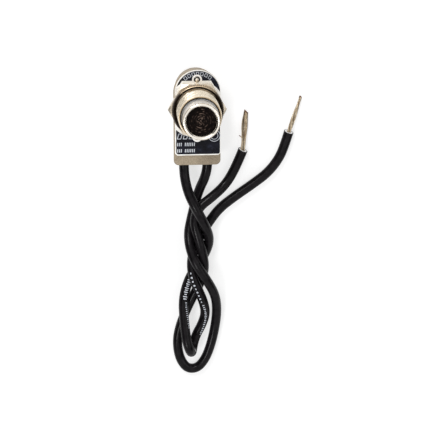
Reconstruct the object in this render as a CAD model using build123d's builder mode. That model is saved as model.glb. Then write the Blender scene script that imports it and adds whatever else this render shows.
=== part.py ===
from build123d import *

import os
from math import asin, cos, radians, sin, tan

# Pushbutton canopy switch: a moulded two-piece body, a printed metal nameplate, a threaded bushing with
# a hexagon nut and a knurled ring nut, a metal button with a dark insert, and two wires that leave the
# bottom end. Millimetres. The Z axis is the bushing's axis, and zero is the ring nut's front face, where
# the free thread starts. The body's half-round end points along +Y and the wires leave along -Y.

# Fits and gaps
running_fit = 0.05
assembly_fit = 0.05
slide_gap = 0.15
stop_gap = 0.15
wire_hole_fit = 0.1
contact_gap = 0.3
flare_gap = 0.1
rivet_nut_gap = 0.13
spring_side_gap = 0.55
spring_well_gap = 0.7
drum_side_gap = 0.325
terminal_room_gap = 0.25

# Bushing
thread_diameter = 11.9
thread_ridge = 0.25
thread_groove_pitch = 1.3
thread_groove_width = 0.45
bushing_height = 11.9
bushing_wall = 0.55
bushing_edge = 0.35
mouth_lip_width = 0.25
mouth_lip_length = 0.6
neck_diameter = 9.6
neck_flare_width = 0.2
neck_flare_thickness = 0.4
bushing_web_thickness = 1.2

# Nuts on the bushing
hex_nut_across_flats = 14.1
hex_nut_thickness = 1.9
nut_edge = 0.35
ring_nut_diameter = 14.4
ring_nut_thickness = 1.9
nut_sink_share = 0.55
knurl_depth = 0.16
knurl_count = 84

# Body: housing with the half-round end, and the cover behind it
body_side_wall = 1.45
body_depth = 8.2
body_top = 10.95
body_bottom = -16.2
body_corner_radius = 1.4
body_draft = 6.5
front_edge = 0.15
rear_edge_radius = 1.6
front_wall = 1.5
cover_thickness = 2.0

# Nameplate
plate_thickness = 0.3
plate_margin = 0.2
plate_shift = 0.15
plate_top = 10.8
plate_bottom = -13.3
plate_corner = 0.6

# Rivets that hold plate, housing and cover together
rivet_shank_diameter = 1.36
rivet_head_diameter = 1.84
rivet_head_height = 0.4
rivet_bore = 0.9
rivet_bore_depth = 1.6
rivet_roll_diameter = 2.0
rivet_roll_thickness = 0.3
rivet_sink_depth = 0.5
rivet_sink_diameter = 2.6

# Button and its insert
button_height = 17.4
button_travel = 3.0
button_wall = 0.95
button_recess_depth = 1.5
button_mouth_share = 0.47
button_outer_share = 0.3
button_web_thickness = 1.0
button_foot_thickness = 0.8
insert_thickness = 1.2
insert_groove_pitch = 0.8
insert_groove_depth = 0.08

# Plunger, its drive pawl and the return spring
stem_diameter = 3.0
stem_tail_diameter = 1.6
stem_tail_length = 1.1
stem_web_grip = 0.7
pawl_thickness = 0.6
pawl_width = 2.4
pawl_reach = 2.45
pawl_back = 1.6
pawl_corner = 0.5
spring_wire = 0.6
spring_wire_sides = 6
spring_turns = 6
spring_end_gap = 0.02

# Ratchet drum
drum_axis_y = -3.9
drum_axis_z = -8.6
drum_diameter = 3.4
ratchet_tip_diameter = 4.2
ratchet_root_diameter = 2.4
ratchet_width = 2.7
ratchet_teeth = 4
tooth_first_angle = 45
tooth_span_angle = 60
tooth_root_overlap = 0.24
axle_diameter = 1.0
axle_seat_length = 0.35
bridge_thickness = 0.2
bridge_band_width = 1.7
bridge_end_thickness = 0.3
bridge_rod_diameter = 0.4
bridge_rod_offset = 0.9
band_angle = 80

# Hollows in the body
chamber_top = 6.2
chamber_bottom = -6.2
chamber_corner = 0.5
terminal_room_bottom = -12.6
drum_room_gap = 0.35
drum_room_front = 2.2
drum_room_inset = 0.3

# Fixed contacts
contact_width = 1.4
contact_strip = 0.25
contact_tip_height = 1.4
crimp_length = 2.4
crimp_offset = 0.3
crimp_wall = 0.25

# Wires
wire_diameter = 2.8
conductor_diameter = 1.2
wire_exit_height = 3.9
insulation_end = -12.2
arc_share = 0.45
route_points_left = [
    (-3.5, -12.2, -8.4), (-3.5, -17.0, -8.4), (-3.3, -21.0, -7.8), (-2.3, -25.2, -6.2), (-0.1, -29.5, -4.8),
    (2.3, -34.3, -5.7), (4.0, -39.5, -8.7), (2.5, -44.9, -10.9), (-0.9, -49.6, -10.9), (-2.9, -53.9, -10.4),
    (-3.9, -58.0, -8.8), (-3.8, -62.2, -7.7), (-3.5, -66.1, -6.6), (-3.1, -69.5, -5.4), (-2.2, -72.4, -5.3),
    (-1.4, -73.9, -8.1), (-0.9, -72.3, -10.9), (0.0, -69.3, -10.9), (1.7, -66.0, -10.6), (2.7, -62.2, -9.6),
    (2.0, -58.3, -8.3), (0.5, -54.4, -7.4), (-1.2, -50.2, -7.4), (-1.5, -46.0, -9.0), (-0.4, -42.2, -10.6),
    (1.7, -38.3, -10.9), (3.9, -34.7, -10.9), (6.8, -30.8, -10.9), (11.2, -27.4, -10.9), (16.3, -23.9, -10.9),
    (20.8, -20.5, -10.9), (23.9, -16.4, -10.9), (25.5, -12.4, -10.9), (26.5, -9.0, -10.9),
]
route_points_right = [
    (3.3, -12.2, -8.4), (3.3, -17.0, -8.4), (2.6, -21.0, -9.0), (1.0, -25.0, -10.7), (-0.3, -29.5, -10.9),
    (-1.3, -33.7, -10.9), (-2.3, -37.8, -9.5), (-1.9, -41.9, -7.2), (-0.2, -46.1, -5.6), (2.8, -50.8, -5.7),
    (5.4, -56.1, -8.0), (6.1, -61.7, -10.2), (5.5, -67.4, -10.9), (4.3, -72.7, -10.9), (2.7, -77.0, -10.9),
    (0.4, -79.9, -10.9), (-2.6, -80.0, -10.9), (-4.6, -77.3, -10.9), (-5.5, -73.6, -10.9),
    (-5.5, -69.4, -10.9), (-4.1, -64.4, -10.9), (-1.6, -58.6, -10.9), (1.0, -53.7, -10.6), (2.4, -48.4, -8.4),
    (1.7, -43.0, -7.1), (0.3, -38.2, -7.2), (-0.8, -33.6, -7.7), (0.7, -29.6, -8.2), (4.6, -26.9, -9.0),
    (8.6, -23.7, -10.5), (11.4, -19.0, -10.9), (13.4, -14.0, -10.9),
]
left_strands_tip = (30.1, 1.7, -11.7)
left_strands_flat = (0.62, 0.5)
right_strands_tip = (14.3, -2.3, -11.8)
right_strands_flat = (0.9, 0.4)
strands_flat_from = 0.5
strands_flat_to = 0.85
strands_tip_share = 0.75

# Radii, widths, levels and places worked out from the sizes above
thread_radius = thread_diameter / 2
under_nut_radius = thread_radius - thread_ridge
bore_radius = thread_radius - bushing_wall
mouth_radius = bore_radius - mouth_lip_width
button_radius = mouth_radius - slide_gap
button_foot_radius = bore_radius - slide_gap
button_inner_radius = button_radius - button_wall
insert_radius = button_inner_radius - assembly_fit
spring_outer_radius = button_inner_radius - spring_side_gap
spring_well_radius = spring_outer_radius + spring_well_gap
flare_radius = neck_diameter / 2 + neck_flare_width
chamber_width = 2 * (flare_radius + flare_gap)
body_width = chamber_width + 2 * body_side_wall
plate_width = body_width - 2 * plate_margin
rivet_spacing = hex_nut_across_flats + rivet_head_diameter + 2 * rivet_nut_gap
terminal_room_width = wire_diameter + 2 * terminal_room_gap
bridge_cap_start = assembly_fit / 2
drum_end_room = drum_room_inset + drum_side_gap + bridge_end_thickness + bridge_cap_start
drum_length = chamber_width - 2 * drum_end_room
axle_half = chamber_width / 2 + axle_seat_length
plate_face = -(ring_nut_thickness + hex_nut_thickness)
body_front = plate_face - plate_thickness
body_back = body_front - body_depth
split_level = body_back + cover_thickness
chamber_ceiling = body_front - front_wall
neck_end = chamber_ceiling - neck_flare_thickness
bushing_tip = plate_face + bushing_height
button_front = plate_face + button_height
insert_face = button_front - button_recess_depth
button_web_top = insert_face - insert_thickness
button_web_bottom = button_web_top - button_web_thickness
button_foot_top = bushing_tip - mouth_lip_length - stop_gap
button_foot_bottom = button_foot_top - button_foot_thickness
spring_floor = neck_end + bushing_web_thickness
pawl_top = neck_end - stop_gap
pawl_bottom = pawl_top - pawl_thickness
wire_level = body_back + wire_exit_height
exit_left = route_points_left[0][0]
exit_right = route_points_right[0][0]
rivet_places = ((0, rivet_spacing / 2), (0, -rivet_spacing / 2))
drum_lowest = drum_axis_z - ratchet_tip_diameter / 2
stem_lowest = pawl_top - stem_tail_length - button_travel
drum_room_floor = min(drum_lowest, stem_lowest) - drum_room_gap
crimp_start = insulation_end + crimp_offset


def outline(plane, width, top, bottom, corner, shift=0.0):
    """Sketch with straight sides, a half-round top end and small corners at the bottom."""
    half = width / 2
    with BuildSketch(plane) as sketch:
        with BuildLine():
            Polyline((shift - half, top - half), (shift - half, bottom), (shift + half, bottom),
                     (shift + half, top - half))
            ThreePointArc((shift + half, top - half), (shift, top), (shift - half, top - half))
        make_face()
        if corner > 0:
            fillet(sketch.vertices().group_by(Axis.Y)[0], corner)
    return sketch.sketch


def turned(points, plane=Plane.XZ):
    """Solid of revolution about the bushing axis, from a half section given as radius and height."""
    with BuildPart() as part:
        with BuildSketch(plane):
            with BuildLine():
                Polyline(*points, close=True)
            make_face()
        revolve(axis=Axis.Z)
    return part.part


def body_form():
    """The whole moulded body before it is split: drafted sides and a rounded rear edge."""
    with BuildPart() as form:
        add(outline(Plane.XY.offset(body_front), body_width, body_top, body_bottom, body_corner_radius))
        extrude(amount=-body_depth, taper=body_draft)
        fillet(form.faces().sort_by(Axis.Z)[0].edges(), rear_edge_radius)
        chamfer(form.faces().sort_by(Axis.Z)[-1].edges(), front_edge)
    return form.part


# Housing: the front half of the moulded body, with the chamber open to the rear
with BuildPart() as housing:
    add(body_form())
    split(bisect_by=Plane.XY.offset(split_level), keep=Keep.TOP)
    chamber_depth = chamber_ceiling - split_level
    with BuildSketch(Plane.XY.offset(split_level)) as chamber:
        with Locations((0, (chamber_top + chamber_bottom) / 2)):
            RectangleRounded(chamber_width, chamber_top - chamber_bottom, chamber_corner)
        room_length = chamber_bottom - terminal_room_bottom + 2 * chamber_corner
        with Locations((exit_left, terminal_room_bottom + room_length / 2),
                       (exit_right, terminal_room_bottom + room_length / 2)):
            Rectangle(terminal_room_width, room_length)
    extrude(amount=chamber_depth, mode=Mode.SUBTRACT)
    # Round hole for the bushing's neck
    with Locations((0, 0, body_front)):
        Hole(neck_diameter / 2 + assembly_fit, depth=front_wall)
    # Rivet holes
    with Locations(*[(x, y, body_front) for x, y in rivet_places]):
        Hole(rivet_shank_diameter / 2 + assembly_fit, depth=body_depth)
    # Wire holes in the bottom end
    with BuildSketch(Plane.XZ.offset(-body_bottom)):
        with Locations((exit_left, wire_level), (exit_right, wire_level)):
            Circle(wire_diameter / 2 + wire_hole_fit)
    extrude(amount=-(terminal_room_bottom - body_bottom), mode=Mode.SUBTRACT)
    # Slots for the drum's axle, open to the split
    slot_height = drum_axis_z + axle_diameter / 2 + assembly_fit - split_level
    with BuildSketch(Plane.XY.offset(split_level)):
        with Locations((0, drum_axis_y)):
            Rectangle(2 * axle_half + 2 * assembly_fit, axle_diameter + 2 * assembly_fit)
    extrude(amount=slot_height, mode=Mode.SUBTRACT)
housing.part.label = "housing"

# Cover: the rear half of the moulded body, with a hollow for the drum and tongues under the axle
with BuildPart() as rear_cover:
    add(body_form())
    split(bisect_by=Plane.XY.offset(split_level), keep=Keep.BOTTOM)
    with BuildSketch(Plane.XY.offset(split_level)):
        with Locations((0, (drum_room_front + chamber_bottom) / 2)):
            RectangleRounded(chamber_width - 2 * drum_room_inset, drum_room_front - chamber_bottom,
                             chamber_corner)
    extrude(amount=drum_room_floor - split_level, mode=Mode.SUBTRACT)
    tongue_height = drum_axis_z - axle_diameter / 2 - assembly_fit - split_level
    tongue_inner = chamber_width / 2 + assembly_fit
    tongue_centre = (tongue_inner + axle_half) / 2
    with BuildSketch(Plane.XY.offset(split_level)):
        with Locations((tongue_centre, drum_axis_y), (-tongue_centre, drum_axis_y)):
            Rectangle(axle_half - tongue_inner, axle_diameter - 2 * assembly_fit)
    extrude(amount=tongue_height)
    with Locations(*[Location((x, y, body_back), (180, 0, 0)) for x, y in rivet_places]):
        CounterBoreHole(rivet_shank_diameter / 2 + assembly_fit, rivet_sink_diameter / 2, rivet_sink_depth,
                        depth=cover_thickness)
rear_cover.part.label = "rear_cover"

# Nameplate: thin printed metal plate between the body and the bushing's shoulder
with BuildPart() as nameplate:
    add(outline(Plane.XY.offset(body_front), plate_width, plate_top, plate_bottom, 0, plate_shift))
    extrude(amount=plate_thickness)
    chamfer(nameplate.edges().filter_by(Axis.Z).group_by(Axis.Y)[0], plate_corner)
    with Locations((0, 0, plate_face)):
        Hole(neck_diameter / 2 + assembly_fit, depth=plate_thickness)
    with Locations(*[(x, y, plate_face) for x, y in rivet_places]):
        Hole(rivet_shank_diameter / 2 + assembly_fit, depth=plate_thickness)
nameplate.part.label = "nameplate"


def rivet(y):
    """Semi-tubular rivet: domed head on the plate, shank through the body, rolled end in the cover."""
    shank = rivet_shank_diameter / 2
    head = rivet_head_diameter / 2
    sink_floor = body_back + rivet_sink_depth
    dome_radius = (head ** 2 + rivet_head_height ** 2) / (2 * rivet_head_height)
    dome_centre = plate_face + rivet_head_height - dome_radius
    dome_angle = asin(head / dome_radius)
    dome_middle = (dome_radius * sin(dome_angle / 2), dome_centre + dome_radius * cos(dome_angle / 2))
    with BuildPart() as part:
        with BuildSketch(Plane.XZ):
            with BuildLine():
                Polyline((0, body_back + rivet_bore_depth), (rivet_bore / 2, body_back + rivet_bore_depth),
                         (rivet_bore / 2, sink_floor - rivet_roll_thickness),
                         (rivet_roll_diameter / 2, sink_floor - rivet_roll_thickness),
                         (rivet_roll_diameter / 2, sink_floor), (shank, sink_floor), (shank, plate_face),
                         (head, plate_face))
                ThreePointArc((head, plate_face), dome_middle, (0, plate_face + rivet_head_height))
                Line((0, plate_face + rivet_head_height), (0, body_back + rivet_bore_depth))
            make_face()
        revolve(axis=Axis.Z)
    return part.part.moved(Location((0, y, 0)))


with BuildPart() as top_rivet:
    add(rivet(rivet_spacing / 2))
top_rivet.part.label = "top_rivet"

with BuildPart() as bottom_rivet:
    add(rivet(-rivet_spacing / 2))
bottom_rivet.part.label = "bottom_rivet"

# Bushing: threaded barrel on a shoulder, with a neck flared under the front wall and a lip at the mouth.
# Ring grooves stand for the thread on its free stretch.
with BuildPart() as bushing:
    free_length = bushing_tip - bushing_edge
    groove_count = round(free_length / thread_groove_pitch)
    grooves = []
    for i in range(groove_count):
        middle = (i + 0.5) * free_length / groove_count
        grooves.append((thread_radius, middle - thread_groove_width / 2))
        grooves.append((thread_radius - thread_ridge, middle))
        grooves.append((thread_radius, middle + thread_groove_width / 2))
    add(turned([
        (stem_diameter / 2 + running_fit, neck_end),
        (flare_radius, neck_end),
        (flare_radius, chamber_ceiling),
        (neck_diameter / 2, chamber_ceiling),
        (neck_diameter / 2, plate_face),
        (under_nut_radius, plate_face),
        (under_nut_radius, 0),
        (thread_radius, 0),
        *grooves,
        (thread_radius, free_length),
        (thread_radius - bushing_edge, bushing_tip),
        (mouth_radius, bushing_tip),
        (mouth_radius, bushing_tip - mouth_lip_length),
        (bore_radius, bushing_tip - mouth_lip_length),
        (bore_radius, plate_face + bushing_web_thickness),
        (spring_well_radius, plate_face + bushing_web_thickness),
        (spring_well_radius, spring_floor),
        (stem_diameter / 2 + running_fit, spring_floor),
    ]))
bushing.part.label = "bushing"

nut_bore = under_nut_radius + assembly_fit

# Hexagon nut, flats towards the body's ends, corners trimmed by a cone as on a turned nut
with BuildPart() as hex_nut:
    with BuildSketch(Plane.XY.offset(plate_face)):
        RegularPolygon(hex_nut_across_flats / 2, 6, major_radius=False)
    extrude(amount=hex_nut_thickness)
    corner_radius = hex_nut_across_flats / 2 / cos(radians(30))
    add(turned([
        (0, plate_face),
        (corner_radius - nut_edge, plate_face),
        (corner_radius, plate_face + nut_edge),
        (corner_radius, plate_face + hex_nut_thickness - nut_edge),
        (corner_radius - nut_edge * 2, plate_face + hex_nut_thickness),
        (0, plate_face + hex_nut_thickness),
    ]), mode=Mode.INTERSECT)
    with Locations((0, 0, plate_face + hex_nut_thickness)):
        Hole(nut_bore, depth=hex_nut_thickness)
hex_nut.part.label = "hex_nut"

# Ring nut: straight knurl round the edge, chamfered on both faces, its bore sunk at the front
with BuildPart() as ring_nut:
    rim = ring_nut_diameter / 2
    knurl_step = radians(360 / knurl_count)
    crest = [(rim * cos(i * knurl_step), rim * sin(i * knurl_step)) for i in range(knurl_count)]
    valley_radius = rim - knurl_depth
    valley = [(valley_radius * cos((i + 0.5) * knurl_step), valley_radius * sin((i + 0.5) * knurl_step))
              for i in range(knurl_count)]
    with BuildSketch(Plane.XY.offset(-ring_nut_thickness)):
        with BuildLine():
            Polyline(*[point for pair in zip(crest, valley) for point in pair], close=True)
        make_face()
    extrude(amount=ring_nut_thickness)
    add(turned([
        (0, -ring_nut_thickness),
        (rim - nut_edge, -ring_nut_thickness),
        (rim, nut_edge - ring_nut_thickness),
        (rim, -nut_edge),
        (rim - nut_edge, 0),
        (0, 0),
    ]), mode=Mode.INTERSECT)
    with Locations((0, 0, 0)):
        CounterSinkHole(nut_bore, nut_bore + nut_sink_share * (rim - nut_bore), depth=ring_nut_thickness,
                        counter_sink_angle=90)
ring_nut.part.label = "ring_nut"

# Button: a turned metal cup with a foot that stops under the bushing's lip
with BuildPart() as button:
    mouth_bevel = button_mouth_share * button_wall
    outer_bevel = button_outer_share * button_wall
    add(turned([
        (stem_diameter / 2 + assembly_fit, button_web_bottom),
        (button_inner_radius, button_web_bottom),
        (button_inner_radius, button_foot_bottom),
        (button_foot_radius, button_foot_bottom),
        (button_foot_radius, button_foot_top),
        (button_radius, button_foot_top),
        (button_radius, button_front - outer_bevel),
        (button_radius - outer_bevel, button_front),
        (button_inner_radius + mouth_bevel, button_front),
        (button_inner_radius, button_front - mouth_bevel),
        (button_inner_radius, button_web_top),
        (stem_diameter / 2 + assembly_fit, button_web_top),
    ]))
button.part.label = "button"

# Insert: dark moulded disc in the button's recess, with fine turned rings in its face
with BuildPart() as button_insert:
    with BuildSketch(Plane.XY.offset(button_web_top)):
        Circle(insert_radius)
    extrude(amount=insert_thickness)
    ring_count = int(insert_radius / insert_groove_pitch - 0.5)
    for radius in [insert_groove_pitch * (i + 1) for i in range(ring_count)]:
        with BuildSketch(Plane.XY.offset(insert_face)):
            Circle(radius + insert_groove_depth)
            Circle(radius - insert_groove_depth, mode=Mode.SUBTRACT)
        extrude(amount=-insert_groove_depth, mode=Mode.SUBTRACT)
button_insert.part.label = "button_insert"

# Plunger stem: pressed into the button's web, guided by the bushing's web, tail riveted to the pawl
with BuildPart() as plunger_stem:
    with BuildSketch(Plane.XY.offset(pawl_top)):
        Circle(stem_diameter / 2)
    extrude(amount=button_web_bottom + stem_web_grip - pawl_top)
    with BuildSketch(Plane.XY.offset(pawl_top)):
        Circle(stem_tail_diameter / 2)
    extrude(amount=-stem_tail_length)
plunger_stem.part.label = "plunger_stem"

# Drive pawl: plate on the stem's tail whose finger turns the ratchet
with BuildPart() as drive_pawl:
    with BuildSketch(Plane.XY.offset(pawl_bottom)):
        with Locations((0, (pawl_back - pawl_reach) / 2)):
            Rectangle(pawl_width, pawl_back + pawl_reach)
        Circle(stem_tail_diameter / 2 + assembly_fit / 2, mode=Mode.SUBTRACT)
    extrude(amount=pawl_thickness)
    chamfer(drive_pawl.edges().filter_by(Axis.Z).group_by(Axis.Y)[-1], pawl_corner)
drive_pawl.part.label = "drive_pawl"

# Return spring: coil between the bushing's web and the button's web, its wire drawn with few sides
with BuildPart() as return_spring:
    coil_radius = spring_outer_radius - spring_wire / 2
    coil_bottom = spring_floor + spring_wire / 2 + spring_end_gap
    coil_top = button_web_bottom - spring_wire / 2 - spring_end_gap
    with BuildLine() as coil_line:
        Helix(pitch=(coil_top - coil_bottom) / spring_turns, height=coil_top - coil_bottom,
              radius=coil_radius, center=(0, 0, coil_bottom))
    with BuildSketch(Plane(origin=coil_line.line @ 0, z_dir=coil_line.line % 0)):
        RegularPolygon(spring_wire / 2, spring_wire_sides)
    sweep(path=coil_line.line, is_frenet=True)
return_spring.part.label = "return_spring"

drum_plane = Plane(origin=(0, drum_axis_y, drum_axis_z), x_dir=(0, 1, 0), z_dir=(1, 0, 0))

# Ratchet drum: moulded roller on the axle, with a four-tooth ratchet at its middle
with BuildPart() as ratchet_drum:
    with BuildSketch(drum_plane.offset(-drum_length / 2)):
        Circle(drum_diameter / 2)
    extrude(amount=drum_length)
    with BuildSketch(drum_plane.offset(-ratchet_width / 2)):
        Circle(drum_diameter / 2)
        Circle(ratchet_root_diameter / 2, mode=Mode.SUBTRACT)
    extrude(amount=ratchet_width, mode=Mode.SUBTRACT)
    root = ratchet_root_diameter / 2
    tip = ratchet_tip_diameter / 2
    tooth_foot = (root * cos(radians(tooth_span_angle)), -root * sin(radians(tooth_span_angle)))
    with BuildSketch(drum_plane.offset(assembly_fit - ratchet_width / 2)):
        with PolarLocations(0, ratchet_teeth, start_angle=tooth_first_angle):
            with BuildLine():
                Polyline((root - tooth_root_overlap, 0), (tip, 0), tooth_foot, close=True)
            make_face()
    extrude(amount=ratchet_width - 2 * assembly_fit)
    with BuildSketch(drum_plane.offset(-drum_length / 2)):
        Circle(axle_diameter / 2 + running_fit)
        with Locations((0, -bridge_rod_offset)):
            Circle(bridge_rod_diameter / 2 + assembly_fit / 2)
    extrude(amount=drum_length, mode=Mode.SUBTRACT)
ratchet_drum.part.label = "ratchet_drum"

# Axle: plain steel pin in the housing's slots
with BuildPart() as drum_axle:
    with BuildSketch(drum_plane.offset(-axle_half)):
        Circle(axle_diameter / 2)
    extrude(amount=2 * axle_half)
drum_axle.part.label = "drum_axle"

# Contact bridge: brass caps on the drum's ends, each with two bands along the drum, joined by a rod
with BuildPart() as contact_bridge:
    band_inner = drum_diameter / 2 + assembly_fit / 2
    band_outer = band_inner + bridge_thickness
    cap_start = drum_length / 2 + bridge_cap_start
    for side in (-1, 1):
        with BuildSketch(drum_plane.offset(side * cap_start)):
            Circle(band_outer)
            Circle(axle_diameter / 2 + slide_gap, mode=Mode.SUBTRACT)
        extrude(amount=side * bridge_end_thickness)
        with BuildSketch(drum_plane.offset(side * (cap_start - bridge_band_width))):
            Circle(band_outer)
            Circle(band_inner, mode=Mode.SUBTRACT)
            with BuildLine():
                reach = band_outer * 2
                half_gap = radians(band_angle / 2)
                Polyline((0, 0), (reach * cos(half_gap), reach * sin(half_gap)),
                         (reach * cos(half_gap), -reach * sin(half_gap)), close=True)
            make_face(mode=Mode.SUBTRACT)
            with BuildLine():
                Polyline((0, 0), (-reach * cos(half_gap), reach * sin(half_gap)),
                         (-reach * cos(half_gap), -reach * sin(half_gap)), close=True)
            make_face(mode=Mode.SUBTRACT)
        extrude(amount=side * bridge_band_width)
    with BuildSketch(drum_plane.offset(-cap_start)):
        with Locations((0, -bridge_rod_offset)):
            Circle(bridge_rod_diameter / 2)
    extrude(amount=2 * cap_start)
contact_bridge.part.label = "contact_bridge"


def fixed_contact(x):
    """Brass contact: a crimp barrel round the conductor and a leaf that stands beside the drum."""
    crimp_inner = conductor_diameter / 2 + assembly_fit / 2
    crimp_outer = crimp_inner + crimp_wall
    crimp_end = crimp_start + crimp_length
    leaf_y = drum_axis_y - drum_diameter / 2 - bridge_thickness - assembly_fit - contact_gap
    floor = wire_level - crimp_outer
    top = drum_axis_z + contact_tip_height
    with BuildPart() as part:
        with BuildSketch(Plane.XZ.offset(-crimp_start)):
            with Locations((x, wire_level)):
                Circle(crimp_outer)
                Circle(crimp_inner, mode=Mode.SUBTRACT)
        extrude(amount=-crimp_length)
        with BuildSketch(Plane.YZ.offset(x - contact_width / 2)):
            with BuildLine():
                Polyline((crimp_end - contact_strip * 2, floor), (leaf_y, floor), (leaf_y, top),
                         (leaf_y - contact_strip, top), (leaf_y - contact_strip, floor + contact_strip),
                         (crimp_end - contact_strip * 2, floor + contact_strip), close=True)
            make_face()
        extrude(amount=contact_width)
    return part.part


with BuildPart() as left_contact:
    add(fixed_contact(exit_left))
left_contact.part.label = "left_contact"

with BuildPart() as right_contact:
    add(fixed_contact(exit_right))
right_contact.part.label = "right_contact"


def wire_tube(points):
    """Insulated wire: straight runs joined by arcs that use a set share of the shorter run."""
    radii = []
    for before, corner, after in zip(points, points[1:], points[2:]):
        first = Vector(*corner) - Vector(*before)
        second = Vector(*after) - Vector(*corner)
        half_turn = radians(first.get_angle(second) / 2)
        radii.append(arc_share * min(first.length, second.length) / tan(half_turn))
    with BuildPart() as part:
        with BuildLine() as route:
            FilletPolyline(*points, radius=radii)
        path = route.wire()
        with BuildSketch(Plane(origin=path @ 0, z_dir=path % 0)) as section:
            Circle(wire_diameter / 2)
        sweep(path=path)
    print("arc radii", [round(radius, 1) for radius in radii], "length", round(path.length, 1),
          "volume over section", round(part.part.volume / section.sketch.area, 1))
    return part.part


with BuildPart() as left_wire:
    add(wire_tube(route_points_left))
left_wire.part.label = "left_wire"

with BuildPart() as right_wire:
    add(wire_tube(route_points_right))
right_wire.part.label = "right_wire"


def inner_conductor(x):
    """Stripped end of a wire inside its crimp."""
    with BuildPart() as part:
        with BuildSketch(Plane.XZ.offset(-insulation_end)):
            with Locations((x, wire_level)):
                Circle(conductor_diameter / 2)
        extrude(amount=-(crimp_length + 2 * crimp_offset))
    return part.part


with BuildPart() as left_conductor:
    add(inner_conductor(exit_left))
left_conductor.part.label = "left_conductor"

with BuildPart() as right_conductor:
    add(inner_conductor(exit_right))
right_conductor.part.label = "right_conductor"


def bare_strands(points, tip, flat):
    """Stripped far end of a wire: a bundle that starts round and lies flatter towards its tip."""
    start = Vector(*points[-1])
    outward = (start - Vector(*points[-2])).normalized()
    root = start + outward * conductor_diameter
    along = Vector(*tip) - root
    round_half = conductor_diameter / 2
    sections = (
        (start, outward, round_half, round_half),
        (root, outward, round_half, round_half),
        (root + along * strands_flat_from, along, flat[0], flat[1]),
        (root + along * strands_flat_to, along, flat[0], flat[1]),
        (root + along, along, flat[0] * strands_tip_share, flat[1] * strands_tip_share),
    )
    with BuildPart() as part:
        for centre, direction, wide, high in sections:
            side = direction.cross(Vector(0, 0, 1)).normalized()
            with BuildSketch(Plane(origin=centre, x_dir=side, z_dir=direction)):
                Ellipse(wide, high)
        loft(ruled=True)
    return part.part


with BuildPart() as left_strands:
    add(bare_strands(route_points_left, left_strands_tip, left_strands_flat))
left_strands.part.label = "left_strands"

with BuildPart() as right_strands:
    add(bare_strands(route_points_right, right_strands_tip, right_strands_flat))
right_strands.part.label = "right_strands"

os.makedirs("parts", exist_ok=True)
export_step(housing.part, "parts/housing.step")
export_step(rear_cover.part, "parts/rear_cover.step")
export_step(nameplate.part, "parts/nameplate.step")
export_step(top_rivet.part, "parts/top_rivet.step")
export_step(bottom_rivet.part, "parts/bottom_rivet.step")
export_step(bushing.part, "parts/bushing.step")
export_step(hex_nut.part, "parts/hex_nut.step")
export_step(ring_nut.part, "parts/ring_nut.step")
export_step(button.part, "parts/button.step")
export_step(button_insert.part, "parts/button_insert.step")
export_step(plunger_stem.part, "parts/plunger_stem.step")
export_step(drive_pawl.part, "parts/drive_pawl.step")
export_step(return_spring.part, "parts/return_spring.step")
export_step(ratchet_drum.part, "parts/ratchet_drum.step")
export_step(drum_axle.part, "parts/drum_axle.step")
export_step(contact_bridge.part, "parts/contact_bridge.step")
export_step(left_contact.part, "parts/left_contact.step")
export_step(right_contact.part, "parts/right_contact.step")
export_step(left_wire.part, "parts/left_wire.step")
export_step(right_wire.part, "parts/right_wire.step")
export_step(left_conductor.part, "parts/left_conductor.step")
export_step(right_conductor.part, "parts/right_conductor.step")
export_step(left_strands.part, "parts/left_strands.step")
export_step(right_strands.part, "parts/right_strands.step")
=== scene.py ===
import math
import random

import bmesh
import bpy
from mathutils import Matrix, Vector, noise


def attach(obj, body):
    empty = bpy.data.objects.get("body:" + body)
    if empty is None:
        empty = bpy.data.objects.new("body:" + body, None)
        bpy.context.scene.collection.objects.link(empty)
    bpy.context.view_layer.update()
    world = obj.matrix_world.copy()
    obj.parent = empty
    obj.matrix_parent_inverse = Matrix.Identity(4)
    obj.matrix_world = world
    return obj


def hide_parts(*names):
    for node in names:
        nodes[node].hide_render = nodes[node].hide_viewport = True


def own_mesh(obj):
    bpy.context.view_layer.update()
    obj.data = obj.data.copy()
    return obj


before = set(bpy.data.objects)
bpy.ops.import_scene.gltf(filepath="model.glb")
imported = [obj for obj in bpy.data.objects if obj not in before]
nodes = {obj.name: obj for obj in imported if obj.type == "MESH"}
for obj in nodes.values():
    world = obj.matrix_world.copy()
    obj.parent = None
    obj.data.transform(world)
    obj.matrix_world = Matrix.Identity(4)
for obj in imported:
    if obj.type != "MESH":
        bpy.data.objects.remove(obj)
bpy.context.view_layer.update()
MM = 0.001

# Sizes in millimetres that repeat part.py
PLATE_FACE = -3.8
BODY_BACK = -12.3
SPLIT_LEVEL = -10.3
RIVET_Y = 8.1
STEM_HOLE = 1.55
BUSHING_BACK = -6.0
BUSHING_TIP = 8.1
THREAD_RADIUS = 5.95
UNDER_NUT_RADIUS = 5.70
FLARE_RADIUS = 5.0
FLARE_FRONT = -5.6
NECK_RADIUS = 4.8
BORE_RADIUS = 5.4
BORE_FLOOR = -2.6
WELL_RADIUS = 4.2
WELL_FLOOR = -4.8
MOUTH_RADIUS = 5.15
RING_RADIUS = 7.2
RING_BACK = -1.9
KNURLS = 84
BUTTON_RADIUS = 5.0
BUTTON_INNER = 4.05
BUTTON_FRONT = 13.6
BUTTON_FOOT = 6.55
FOOT_RADIUS = 5.25
FOOT_FRONT = 7.35
WEB_BACK = 9.9
WEB_FRONT = 10.9
INSERT_RADIUS = 4.0
INSERT_FACE = 12.1
WIRE_RADIUS = 1.4

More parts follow.
